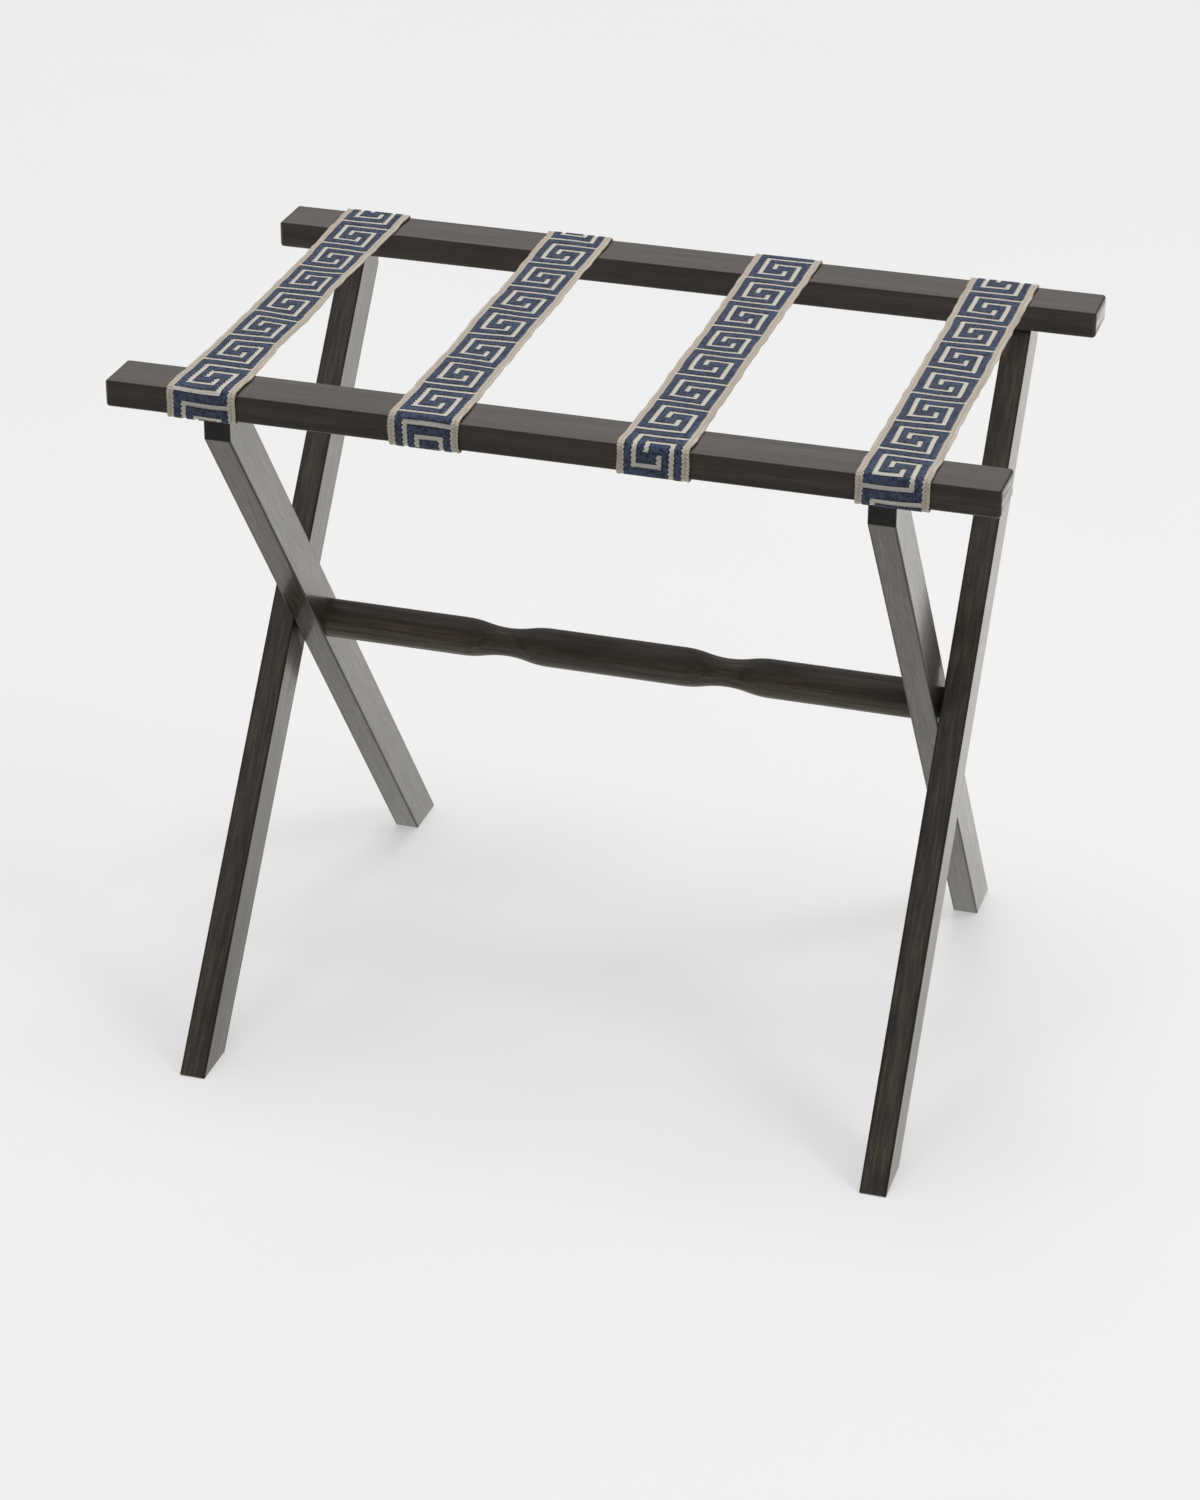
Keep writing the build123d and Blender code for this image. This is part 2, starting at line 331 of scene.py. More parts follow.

# Rails as the CAD places them, in millimetres, and the pivot in metres
rear_low, rear_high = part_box("rear_rail")
RAIL_TOP = rear_high.z / MM
RAIL_BOTTOM = rear_low.z / MM
RAIL_OUTER = rear_high.y / MM
RAIL_INNER = rear_low.y / MM
stretcher_low, stretcher_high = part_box("turned_stretcher")
PIVOT_HEIGHT = (stretcher_low.z + stretcher_high.z) / 2


def unit_rectangles():
    """The four bars of one key hook as (u from, u to, v from, v to)."""
    foot = (-FIELD_HALF, KEY_STEM + LINE_ALONG_HALF,
            -KEY_FOOT - LINE_ACROSS_HALF, -KEY_FOOT + LINE_ACROSS_HALF)
    stem = (KEY_STEM - LINE_ALONG_HALF, KEY_STEM + LINE_ALONG_HALF,
            -KEY_FOOT - LINE_ACROSS_HALF, KEY_HEAD + LINE_ACROSS_HALF)
    head = (KEY_HOOK - LINE_ALONG_HALF, KEY_STEM + LINE_ALONG_HALF,
            KEY_HEAD - LINE_ACROSS_HALF, KEY_HEAD + LINE_ACROSS_HALF)
    hook = (KEY_HOOK - LINE_ALONG_HALF, KEY_HOOK + LINE_ALONG_HALF,
            KEY_TIP, KEY_HEAD + LINE_ACROSS_HALF)
    return (foot, stem, head, hook)


def srgb(red, green, blue):
    """A colour from 0 to 255 picture values, by the sRGB formula."""
    def linear(level):
        share = level / 255
        return share / 12.92 if share <= 0.04045 else ((share + 0.055) / 1.055) ** 2.4
    return (linear(red), linear(green), linear(blue), 1.0)


class Shader:
    """A node material with short calls for its nodes."""

    def __init__(self, name):
        self.material = bpy.data.materials.new(name)
        self.material.use_nodes = True
        self.tree = self.material.node_tree
        self.surface = self.tree.nodes["Principled BSDF"]

    def put(self, socket, value):
        """Links a socket to a socket, or sets a plain value on it."""
        if isinstance(value, bpy.types.NodeSocket):
            self.tree.links.new(value, socket)
        else:
            socket.default_value = value

    def add(self, kind, output, inputs=(), **settings):
        """Adds a node and returns the named or numbered output."""
        node = self.tree.nodes.new(kind)
        for key, value in settings.items():
            setattr(node, key, value)
        for key, value in inputs:
            self.put(node.inputs[key], value)
        return node.outputs[output]

    def rest_place(self):
        """The place of a point at rest, in metres."""
        return self.add("ShaderNodeTexCoord", "Object")

    def mapped(self, vector, location=(0, 0, 0), rotation=(0, 0, 0), scale=(1, 1, 1)):
        """A vector seen from a moved, turned and scaled frame."""
        inputs = (("Vector", vector), ("Location", location), ("Rotation", rotation), ("Scale", scale))
        return self.add("ShaderNodeMapping", 0, inputs, vector_type="TEXTURE")

    def axes(self, vector):
        """The three parts of a vector."""
        node = self.tree.nodes.new("ShaderNodeSeparateXYZ")
        self.put(node.inputs[0], vector)
        return node.outputs

    def length(self, vector):
        """The length of a vector."""
        return self.add("ShaderNodeVectorMath", "Value", ((0, vector),), operation="LENGTH")

    def math(self, operation, *values):
        """One step of arithmetic on sockets and plain values."""
        return self.add("ShaderNodeMath", 0, tuple(enumerate(values)), operation=operation)

    def depth(self, half, value):
        """How far a value lies inside a span of that half width round 0."""
        return self.math("SUBTRACT", half, self.math("ABSOLUTE", value))

    def ripple(self, value, pitch):
        """A sine wave of that pitch."""
        return self.math("SINE", self.math("MULTIPLY", value, 2 * math.pi / pitch))

    def noise(self, vector, scale=1.0, detail=2.0, output="Fac"):
        """Noise about 0.5."""
        inputs = (("Vector", vector), ("Scale", scale), ("Detail", detail))
        return self.add("ShaderNodeTexNoise", output, inputs)

    def remap(self, value, low, high, new_low, new_high):
        """A value moved from one span to another and kept inside it."""
        inputs = tuple(enumerate((value, low, high, new_low, new_high)))
        return self.add("ShaderNodeMapRange", 0, inputs)

    def mix(self, factor, first, second):
        """A blend of two colours: sockets 6 and 7 of a mix node, and its output 2."""
        node = self.tree.nodes.new("ShaderNodeMix")
        node.data_type = "RGBA"
        self.put(node.inputs[0], factor)
        self.put(node.inputs[6], first)
        self.put(node.inputs[7], second)
        return node.outputs[2]

    def toned(self, marks, low, high, dark, light):
        """A tone from dark to light as marks go from low to high."""
        return self.mix(self.remap(marks, low, high, 0.0, 1.0), srgb(*dark), srgb(*light))

    def tint(self, tone, marks, low, high, share, colour):
        """A tone with up to a share of a colour mixed in as marks go from low to high."""
        return self.mix(self.remap(marks, low, high, 0.0, share), tone, srgb(*colour))

    def bump(self, height, distance, strength):
        """A normal that follows a height."""
        inputs = (("Height", height), ("Distance", distance), ("Strength", strength))
        return self.add("ShaderNodeBump", 0, inputs)

    def finish(self, **sockets):
        """Sets the surface's sockets and returns the material."""
        for key, value in sockets.items():
            self.put(self.surface.inputs[key.replace("_", " ")], value)
        return self.material


class Wood(Shader):
    """Stained wood under satin lacquer, with its grain along X or, on a leg, along its lean."""

    def __init__(self, name, tones, seed, lean=None, coat=COAT):
        super().__init__(name)
        self.place = self.rest_place()
        self.upright = lean is not None
        self.turn = (math.radians(lean or 0), 0, 0)
        self.start = tuple(seed * share for share in SEED_SPREAD)
        self.fibres = self.grain(*FIBRES)
        self.mottle = self.grain(*MOTTLE)
        self.pits = self.remap(self.grain(*PORES), *PIT_LEVELS, 0.0, 1.0)
        self.tone = self.toned(self.grain(*BANDS), *tones)
        self.shade(self.fibres, *FIBRE_TINT)
        self.shade(self.mottle, *MOTTLE_TINT)
        self.shade(self.pits, *PIT_TINT)
        low, high, share = MOTTLE_THIN
        layer = self.remap(self.mottle, low, high, coat, (1 - share) * coat)
        self.lacquer = self.math("SUBTRACT", layer, self.math("MULTIPLY", self.pits, PIT_THIN * coat))

    def grain(self, length, width, detail):
        """Noise in marks of that length along the grain and that width, in metres."""
        sizes = (width, width, length) if self.upright else (length, width, width)
        return self.noise(self.mapped(self.place, self.start, self.turn, sizes), detail=detail)

    def shade(self, marks, low, high, share, colour):
        """Mixes up to a share of a colour into the tone as marks go from low to high."""
        self.tone = self.tint(self.tone, marks, low, high, share, colour)

    def thin(self, marks, low, high, share):
        """Takes up to a share of the lacquer away as marks go from low to high."""
        left = self.remap(marks, low, high, 1.0, 1.0 - share)
        self.lacquer = self.math("MULTIPLY", self.lacquer, left)

    def lacquered(self, gloss=GLOSS):
        """The finished material. Pores are rough and sunk, and the lacquer over them lies smoother."""
        rough = self.math("ADD", self.remap(self.fibres, *FIBRE_ROUGHNESS),
                          self.math("MULTIPLY", self.pits, PIT_ROUGHNESS))
        height = self.math("SUBTRACT", self.math("MULTIPLY", self.fibres, FIBRE_HEIGHT),
                           self.math("MULTIPLY", self.pits, PIT_DEPTH))
        waves = self.math("ADD", height, self.math("MULTIPLY", self.mottle, MOTTLE_HEIGHT))
        return self.finish(Base_Color=self.tone, Roughness=rough, Specular_IOR_Level=gloss,
                           Normal=self.bump(height, *GRAIN_RELIEF),
                           Coat_Weight=self.lacquer, Coat_Roughness=COAT_ROUGHNESS, Coat_IOR=COAT_IOR,
                           Coat_Normal=self.bump(waves, *LACQUER_RELIEF))


def leg_arris(s, leg):
    """1 on the long edges of a leg, falling to 0 a little way into its faces."""
    low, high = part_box(leg)
    axis = ((low.x + high.x) / 2, 0, PIVOT_HEIGHT)
    halves = ((high.x - low.x) / 2, LEG_HALF_WIDTH)
    sides = s.axes(s.mapped(s.place, axis, s.turn))
    depths = [s.depth(half, side) for half, side in zip(halves, sides)]
    return s.remap(s.math("MAXIMUM", *depths), ARRIS_FROM, ARRIS_TO, 1.0, 0.0)


def leg_cut(s):
    """1 on the upright cut at the top of a leg, which gets painted shade."""
    y, z = s.axes(s.place)[1:]
    outside = s.math("GREATER_THAN", s.math("ABSOLUTE", y), CUT_FROM)
    return s.math("MULTIPLY", outside, s.math("GREATER_THAN", z, PIVOT_HEIGHT))


def leg_material(leg, lean, seed):
    """Streaky wood with painted shade along its edges and on the cut at its top."""
    s = Wood(f"wood_{leg}", LEG_TONES, seed, lean)
    streaks = s.grain(*LEG_STREAKS)
    arris = leg_arris(s, leg)
    s.shade(streaks, *PALE_STREAKS)
    s.shade(streaks, *DARK_STREAKS)
    # Painted shade along the leg's edges
    s.shade(arris, *ARRIS_PAINTED_SHADE)
    s.shade(leg_cut(s), *CUT_PAINTED_SHADE)
    s.thin(s.grain(*LEG_FLAME), *FLAME_THIN)
    s.thin(streaks, *STREAK_THIN)
    s.thin(arris, *ARRIS_THIN)
    return s.lacquered()


def rail_ends(s, rail):
    """Two masks: 1 on the rounded edges of a rail's ends, and 1 on the end faces between them."""
    low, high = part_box(rail)
    sides = s.axes(s.mapped(s.place, (low + high) / 2))
    deep, wide, tall = (s.depth(half, side) for half, side in zip((high - low) / 2, sides))
    edge = s.math("MAXIMUM", deep, s.math("MINIMUM", wide, tall))
    arris = s.remap(edge, END_ARRIS_FROM, END_ARRIS_TO, 1.0, 0.0)
    return arris, s.math("LESS_THAN", deep, END_DEPTH)


def rail_material(rail, seed):
    """Even wood whose ends have painted shade along their edges, and streaks of end grain."""
    s = Wood(f"wood_{rail}", RAIL_TONES, seed)
    arris, end = rail_ends(s, rail)
    streaks = s.noise(s.mapped(s.place, scale=END_STREAKS))
    # Painted shade along the edges of the rail's ends
    s.shade(arris, *ARRIS_PAINTED_SHADE)
    dull = s.math("MULTIPLY", end, s.remap(streaks, *END_GRAIN_DULL))
    dull = s.math("MAXIMUM", dull, s.math("MULTIPLY", arris, END_ARRIS_DULL))
    s.thin(dull, 0.0, 1.0, 1.0)
    return s.lacquered()


def stretcher_material():
    """Paler wood with growth rings round a pith outside the bar, and painted shade on its upper half."""
    s = Wood("wood_stretcher", STRETCHER_TONES, STRETCHER_SEED, coat=STRETCHER_COAT)
    radius = s.length(s.mapped(s.place, STRETCHER_PITH, scale=LEAVE_OUT_X))
    wander = s.math("MULTIPLY", s.grain(*RING_BENDS), RING_WANDER)
    rings = s.ripple(s.math("ADD", radius, wander), RING_WIDTH)
    height = s.axes(s.place)[2]
    s.shade(rings, *RING_TINT)
    # Painted shade, darker towards the top of the bar
    s.shade(height, *TOP_PAINTED_SHADE)
    return s.lacquered(STRETCHER_GLOSS)


def dowel_material():
    """Pale beech dowels, mostly hidden in the joints."""
    s = Shader("dowel_wood")
    streaks = s.noise(s.mapped(s.rest_place(), scale=BEECH_STREAKS), detail=BEECH_DETAIL)
    tone = s.toned(streaks, *BEECH_TONES)
    return s.finish(Base_Color=tone, Roughness=0.55, Normal=s.bump(streaks, *BEECH_RELIEF))


def metal_material():
    """Zinc plated steel with fine drawing marks."""
    s = Shader("plated_steel")
    marks = s.noise(s.rest_place(), *STEEL_NOISE)
    tone = s.toned(marks, *STEEL_TONES)
    rough = s.remap(marks, *STEEL_ROUGHNESS)
    return s.finish(Base_Color=tone, Roughness=rough, Metallic=1.0)


def nylon_material():
    """Black moulded nylon with a faint grain."""
    s = Shader("black_nylon")
    grain = s.noise(s.rest_place(), *NYLON_NOISE)
    tone = s.toned(grain, *NYLON_TONES)
    return s.finish(Base_Color=tone, Roughness=0.5, Normal=s.bump(grain, *NYLON_RELIEF))


def key_lines(s, u, v, grown):
    """1 on the key lines, each made wider by a margin."""
    found = None
    for turn in (1, -1):
        turned_u = s.math("MULTIPLY", u, turn)
        turned_v = s.math("MULTIPLY", v, turn)
        for u0, u1, v0, v1 in unit_rectangles():
            in_u = s.math("COMPARE", turned_u, (u0 + u1) / 2, (u1 - u0) / 2 + grown)
            in_v = s.math("COMPARE", turned_v, (v0 + v1) / 2, (v1 - v0) / 2 + grown)
            bar = s.math("MULTIPLY", in_u, in_v)
            found = bar if found is None else s.math("MAXIMUM", found, bar)
    return found


def webbing_material():
    """Woven webbing: blue field with beige key lines, plaited beige selvedges, the back in reverse."""
    s = Shader("key_webbing")
    weave = s.add("ShaderNodeAttribute", "Vector", attribute_name="weave")
    across, along, side = s.axes(weave)
    stray = s.axes(s.noise(weave, *STRAY_NOISE, "Color"))
    u = s.math("ADD", across, s.remap(stray[0], 0.0, 1.0, -STRAY_ACROSS, STRAY_ACROSS))
    u = s.math("ADD", u, s.math("MULTIPLY", s.ripple(along, TOOTH_PITCH), TOOTH))
    v = s.math("ADD", along, s.remap(stray[1], 0.0, 1.0, -STRAY_ALONG, STRAY_ALONG))
    v = s.math("ADD", v, s.math("MULTIPLY", s.ripple(across, NICK_PITCH), NICK))
    v = s.math("WRAP", v, REPEAT / 2, -REPEAT / 2)
    key = key_lines(s, u, v, 0.0)
    # Painted shade in a thin rim round the key lines
    gap = s.math("SUBTRACT", key_lines(s, u, v, RIM_SHADE_WIDTH), key)
    reverse = s.math("LESS_THAN", side, 0.0)
    key = s.math("ABSOLUTE", s.math("SUBTRACT", key, reverse))
    selvedge = s.math("GREATER_THAN", s.math("ABSOLUTE", u), FIELD_HALF)
    beige = s.math("MAXIMUM", key, selvedge)
    field = s.math("SUBTRACT", 1.0, beige)

    twill = s.ripple(s.math("ADD", s.math("MULTIPLY", along, TWILL_SLANT), across), TWILL_PITCH)
    rib = s.math("MULTIPLY", s.ripple(across, RIB_ACROSS), s.ripple(along, RIB_ALONG))
    from_groove = s.math("SUBTRACT", s.math("ABSOLUTE", across), FIELD_HALF + HEM_GROOVE)
    from_groove = s.math("ABSOLUTE", from_groove)
    plait = s.ripple(s.math("ADD", along, from_groove), EDGE_PLY_PITCH)
    fleck = s.noise(weave, *FLECK_NOISE)
    tuft = s.noise(weave, *TUFT_NOISE)
    cloud = s.noise(weave, *CLOUD_NOISE)

    blue = s.toned(twill, *BLUE_TONES)
    blue = s.tint(blue, fleck, *BLUE_FLECK)
    blue = s.tint(blue, cloud, *BLUE_CLOUD)
    blue = s.tint(blue, tuft, *BLUE_TUFT)
    blue = s.tint(blue, gap, *BLUE_RIM_PAINTED_SHADE)
    cream = s.toned(rib, *CREAM_TONES)
    cream = s.tint(cream, fleck, *CREAM_FLECK)
    hem = s.toned(plait, *HEM_TONES)
    # Painted shade along the hem's middle groove
    hem = s.tint(hem, from_groove, *HEM_GROOVE_PAINTED_SHADE)
    tone = s.mix(beige, blue, s.mix(selvedge, cream, hem))

    height = s.math("MULTIPLY", s.math("ADD", twill, TWILL_RISE), field)
    height = s.math("ADD", height, s.math("MULTIPLY", rib, beige))
    height = s.math("ADD", height, s.math("MULTIPLY", plait, selvedge))
    normal = s.bump(height, *WEAVE_RELIEF)
    return s.finish(Base_Color=tone, Roughness=0.85, Sheen_Weight=0.12, Normal=normal)


def floor_material():
    """Pale matt floor that melts into the backdrop. In the lacquer it glows white as a painted reflection,
    dim in front.
    """
    s = Shader("studio_floor")
    place = s.rest_place()
    tone = s.toned(s.noise(place, *FLOOR_NOISE), *FLOOR_TONES)
    s.finish(Base_Color=tone, Roughness=0.9, Specular_IOR_Level=0.0)
    y = s.axes(place)[1]
    front = s.remap(y, FLOOR_DIM, FLOOR_BRIGHT, DIM_LEVEL, 1.0)
    glow = s.math("MULTIPLY", front, s.remap(y, FLOOR_NEAR, FLOOR_FAR, NEAR_LEVEL, 1.0))
    # Painted reflection: the floor glows for rays off the lacquer
    shine = s.add("ShaderNodeEmission", 0, (("Color", srgb(*FLOOR_SHINE)), ("Strength", glow)))
    plain = s.add("ShaderNodeEmission", 0, (("Strength", BACKDROP),))
    paths = s.tree.nodes.new("ShaderNodeLightPath")
    away = s.remap(s.length(place), LIFT_FROM, LIFT_TO, FLOOR_LIFT, 1.0)
    lift = s.math("MULTIPLY", paths.outputs["Is Camera Ray"], away)
    seen = s.add("ShaderNodeMixShader", 0, ((0, lift), (1, s.surface.outputs[0]), (2, plain)))
    both = s.add("ShaderNodeMixShader", 0, ((0, paths.outputs["Is Glossy Ray"]), (1, seen), (2, shine)))
    s.put(s.tree.nodes["Material Output"].inputs["Surface"], both)
    return s.material


def rounded_line(corners):
    """Points along a line of (y, z, bend radius) corners with softly rounded bends."""
    line = []
    shares = [i / STEPS_IN_BEND for i in range(STEPS_IN_BEND + 1)]
    for n, (y, z, radius) in enumerate(corners):
        here = Vector((y, z))
        if radius == 0:
            line.append([here])
            continue
        back = (Vector(corners[n - 1][:2]) - here).normalized()
        ahead = (Vector(corners[n + 1][:2]) - here).normalized()
        cut = radius * math.tan((math.pi - back.angle(ahead)) / 2)
        start = here + back * cut
        end = here + ahead * cut
        line.append([start * (1 - t) ** 2 + here * 2 * t * (1 - t) + end * t * t for t in shares])
    points = []
    for group in line:
        if points:
            gap = group[0] - points[-1]
            count = max(1, int(gap.length / LINE_STEP))
            points += [points[-1] + gap * (i / count) for i in range(1, count)]
        points += group
    return np.array([tuple(point) for point in points])


def strap_side_line():
    """Half a strap's underside from mid-span to its tail, with outward normals and lengths on its face."""
    corners = (
        (0.0, RAIL_TOP + CLEARANCE, 0),
        (RAIL_INNER, RAIL_TOP + CLEARANCE, 0),
        (RAIL_OUTER + STAND_OFF, RAIL_TOP + STAND_OFF, TOP_BEND),
        (RAIL_OUTER + STAND_OFF, RAIL_BOTTOM - UNDER_SLACK, UNDER_BEND),
        (RAIL_OUTER - TAIL_FLAT, RAIL_BOTTOM - CLEARANCE, TAIL_BEND),
        (RAIL_OUTER - TAIL, RAIL_BOTTOM - CLEARANCE, 0),
    )
    points = rounded_line(corners)
    slope = np.gradient(points, axis=0)
    slope /= np.linalg.norm(slope, axis=1)[:, None]
    normals = np.stack([-slope[:, 1], slope[:, 0]], axis=1)
    face = points + THICKNESS * normals
    lengths = np.concatenate([[0.0], np.cumsum(np.linalg.norm(np.diff(face, axis=0), axis=1))])
    return lengths, points, normals


LINE_LENGTHS, LINE_POINTS, LINE_NORMALS = strap_side_line()
STRAP_END = float(LINE_LENGTHS[-1])
LIP_END = STRAP_END - (TAIL - LIP)


def strap_line(v):
    """Underside point (y, z) and outward normal (y, z) at length v from mid-span on the strap's face."""
    run = abs(v)
    sign = 1 if v >= 0 else -1
    y, z = (float(np.interp(run, LINE_LENGTHS, LINE_POINTS[:, k])) for k in (0, 1))
    normal_y, normal_z = (float(np.interp(run, LINE_LENGTHS, LINE_NORMALS[:, k])) for k in (0, 1))
    return (sign * y, z), (sign * normal_y, normal_z)


def smooth(share):
    """A share from 0 to 1 with eased ends."""
    share = min(1.0, max(0.0, share))
    return share * share * (3 - 2 * share)


def wave(shape, v, turn, side):
    """Height of a wave along a strap, given as (run, phase by strap, phase from middle to edge)."""
    run, by_strap, by_side = shape
    return math.sin(v / run + by_strap * turn + by_side * side)


def in_key(u, v):
    """True on a beige key line, with v measured from the middle of a repeat."""
    v = (v + REPEAT / 2) % REPEAT - REPEAT / 2
    for turn in (1, -1):
        for u0, u1, v0, v1 in unit_rectangles():
            if u0 <= turn * u <= u1 and v0 <= turn * v <= v1:
                return True
    return False


def doubled(edges):
    """Two grid lines round each pattern edge, so that the relief steps between them."""
    return [edge + shift for edge in edges for shift in (-RELIEF_SOFT, RELIEF_SOFT)]


def thinned(lines):
    """Sorted lines with near repeats left out."""
    kept = []
    for line in sorted(lines):
        if not kept or line - kept[-1] > LINE_GAP:
            kept.append(line)
    return kept


def grid_columns(half_width, cuts):
    """Places across the strap of its grid lines: pattern edges, selvedges and cuts."""
    edges = [-FIELD_HALF, FIELD_HALF]
    for u0, u1, v0, v1 in unit_rectangles():
        edges += [u0, u1, -u0, -u1]
    hems = (half_width, half_width - EDGE_COLUMN, (FIELD_HALF + half_width) / 2)
    lines = doubled(edges) + list(cuts) + [side * hem for hem in hems for side in (1, -1)]
    return thinned(line for line in lines if abs(line) <= half_width)


def grid_rows(start, end, pattern_edges):
    """Lengths along the strap of its grid lines, closer together round the rails."""
    fixed = [start, end] + [side * LIP_END for side in (1, -1) if start < side * LIP_END < end]
    lines = doubled(pattern_edges)
    steps = math.ceil((end - start) / ROW_STEP)
    lines += [start + (end - start) * n / steps for n in range(steps + 1)]
    fine = math.ceil((STRAP_END - FINE_ROWS_FROM) / FINE_ROW_STEP)
    lines += [side * (FINE_ROWS_FROM + n * FINE_ROW_STEP) for n in range(fine) for side in (1, -1)]
    inside = [line for line in lines if start < line < end]
    clear = [line for line in inside if all(abs(line - mark) > ROW_GAP for mark in fixed)]
    return thinned(fixed + clear)


class Strap:
    """One strap in strap coordinates: u across, v along from mid-span, both in millimetres."""

    def __init__(self, number):
        low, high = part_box(STRAPS[number])
        self.number = number
        self.name = STRAPS[number]
        self.turn = STRAP_PHASE * number
        self.centre = (low.x + high.x) / 2 / MM
        self.half_width = (high.x - low.x) / 2 / MM - EDGE_INSET
        self.tails = {"front": self.kept_tail("inner_leg_", FRONT_SHIFTS[number]),
                      "rear": self.kept_tail("outer_leg_", REAR_SHIFTS[number])}

    def pattern(self, v):
        """Length along the key pattern from the middle of a repeat, pulled longer at the bends."""
        front = smooth((v - FRONT_PULL_FROM) / (FRONT_PULL_TO - FRONT_PULL_FROM))
        rear = smooth((v - REAR_PULL_FROM) / (REAR_PULL_TO - REAR_PULL_FROM))
        pull = FRONT_PULLS[self.number] * front - REAR_PULL * rear
        return (v + pull - REPEAT_MIDDLES[self.number]) / REPEAT_STRETCHES[self.number]

    def pattern_edges(self, start, end):
        """Lengths at which a bar of the key begins or ends."""
        edges = []
        lengths = np.arange(start - SEARCH_MARGIN, end + SEARCH_MARGIN, SEARCH_STEP)
        marks = np.array([self.pattern(v) for v in lengths])
        for u0, u1, v0, v1 in unit_rectangles():
            for edge in (v0, v1, -v0, -v1):
                first = math.ceil((marks[0] - edge) / REPEAT)
                last = math.floor((marks[-1] - edge) / REPEAT)
                for n in range(first, last + 1):
                    edges.append(float(np.interp(edge + n * REPEAT, marks, lengths)))
        return edges

    def place(self, u, v, offset):
        """Point in metres at offset above the underside, with the slack of the free span."""
        side = u / self.half_width
        (y, z), (normal_y, normal_z) = strap_line(v + self.weave_slip(side, v))
        free = max(0.0, 1 - (v / RAIL_INNER) ** 2)
        rear = min(1.0, max(0.0, (v + RAIL_INNER) / (2 * RAIL_INNER)))
        shift = FRONT_SHIFTS[self.number] * (1 - rear) + REAR_SHIFTS[self.number] * rear
        waist = 1 - (1 - WAISTS[self.number]) * min(1.0, WAIST_RISE * free)
        lift = LIFT * wave(LIFT_WAVE, v, self.turn, side)
        lift += TILT * side * wave(TILT_WAVE, v, self.turn, side)
        lift += CURL * side * side * wave(CURL_WAVE, v, self.turn, side)
        lift = free * (lift - SAG * free * rear)
        sway = SWAY * wave(SWAY_WAVE, v, self.turn, side) * (1 - side * side)
        ripple = sum(wave(shape, v, self.turn, side) for shape in EDGE_WAVES)
        sway += EDGE_SWAY * side * abs(side) * ripple
        x = self.centre + shift + u * waist + sway
        return (x * MM, (y + normal_y * offset) * MM, (z + normal_z * offset + lift) * MM)

    def weave_slip(self, side, v):
        """How far the cross threads lie off square: not at all at the cuts between pieces and the tails."""
        slip = SKEW * side * wave(SKEW_WAVE, v, self.turn, side)
        slip += BEND * wave(BEND_WAVE, v, self.turn, side)
        for still in (-STRAP_END, -RAIL_INNER, 0.0, RAIL_INNER, STRAP_END):
            slip *= 1 - math.exp(-((v - still) / STILL_LENGTH) ** 2)
        return slip

    def height(self, u, v, outer):
        """Height of a face above the underside: lines and selvedges lie lower than the blue field."""
        if abs(u) >= self.half_width - EDGE_NEAR:
            return THICKNESS * (EDGE_TOP if outer else EDGE_BOTTOM)
        if not outer:
            return 0.0
        if abs(u) > FIELD_HALF:
            return THICKNESS - SELVEDGE_DROP
        if in_key(u, self.pattern(v)):
            return THICKNESS - RELIEF
        return THICKNESS

    def kept_tail(self, leg, shift):
        """Span of u in which the tail runs past its lip, beside a leg on the end straps."""
        for hand in ("left", "right"):
            low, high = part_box(leg + hand)
            leg_low = low.x / MM - self.centre - shift
            leg_high = high.x / MM - self.centre - shift
            if leg_high < -self.half_width or leg_low > self.half_width:
                continue
            if leg_low + leg_high + 2 * shift < 0:
                return (leg_high + LEG_CLEARANCE, self.half_width)
            return (-self.half_width, leg_low - LEG_CLEARANCE)
        return (-self.half_width, self.half_width)

    def cell_there(self, u, v):
        """True where the strap is whole, which past its lip is only in the kept tail."""
        if abs(v) < LIP_END:
            return True
        low, high = self.tails["front" if v < 0 else "rear"]
        return low < u < high

    def build(self, part, start, end):
        """A closed piece of the strap between two lengths, with its edge yarns."""
        points = []
        weave = []
        faces = []
        cuts = set(self.tails["front"] + self.tails["rear"])
        columns = grid_columns(self.half_width, cuts)
        rows = grid_rows(start, end, self.pattern_edges(start, end))
        index = {}

        def vertex(row, column, outer):
            key = (row, column, outer)
            if key not in index:
                u = columns[column]
                v = rows[row]
                index[key] = len(points)
                points.append(self.place(u, v, self.height(u, v, outer)))
                weave.append((u, self.pattern(v), 1.0 if outer else -1.0))
            return index[key]

        def there(row, column):
            if not (0 <= row < len(rows) - 1 and 0 <= column < len(columns) - 1):
                return False
            middle_u = (columns[column] + columns[column + 1]) / 2
            middle_v = (rows[row] + rows[row + 1]) / 2
            return self.cell_there(middle_u, middle_v)

        for row in range(len(rows) - 1):
            for column in range(len(columns) - 1):
                if not there(row, column):
                    continue
                ring = ((row, column), (row, column + 1), (row + 1, column + 1), (row + 1, column))
                faces.append([vertex(r, c, True) for r, c in ring])
                faces.append([vertex(r, c, False) for r, c in reversed(ring)])
                beside = ((row - 1, column), (row, column + 1), (row + 1, column), (row, column - 1))
                for n, neighbour in enumerate(beside):
                    if not there(*neighbour):
                        first = ring[n]
                        second = ring[(n + 1) % 4]
                        faces.append([vertex(*second, True), vertex(*first, True),
                                      vertex(*first, False), vertex(*second, False)])
        for sign in (1, -1):
            self.edge_yarn(sign, start, end, points, weave, faces)
        return make_piece(f"{self.name}_{part}", points, faces, weave)

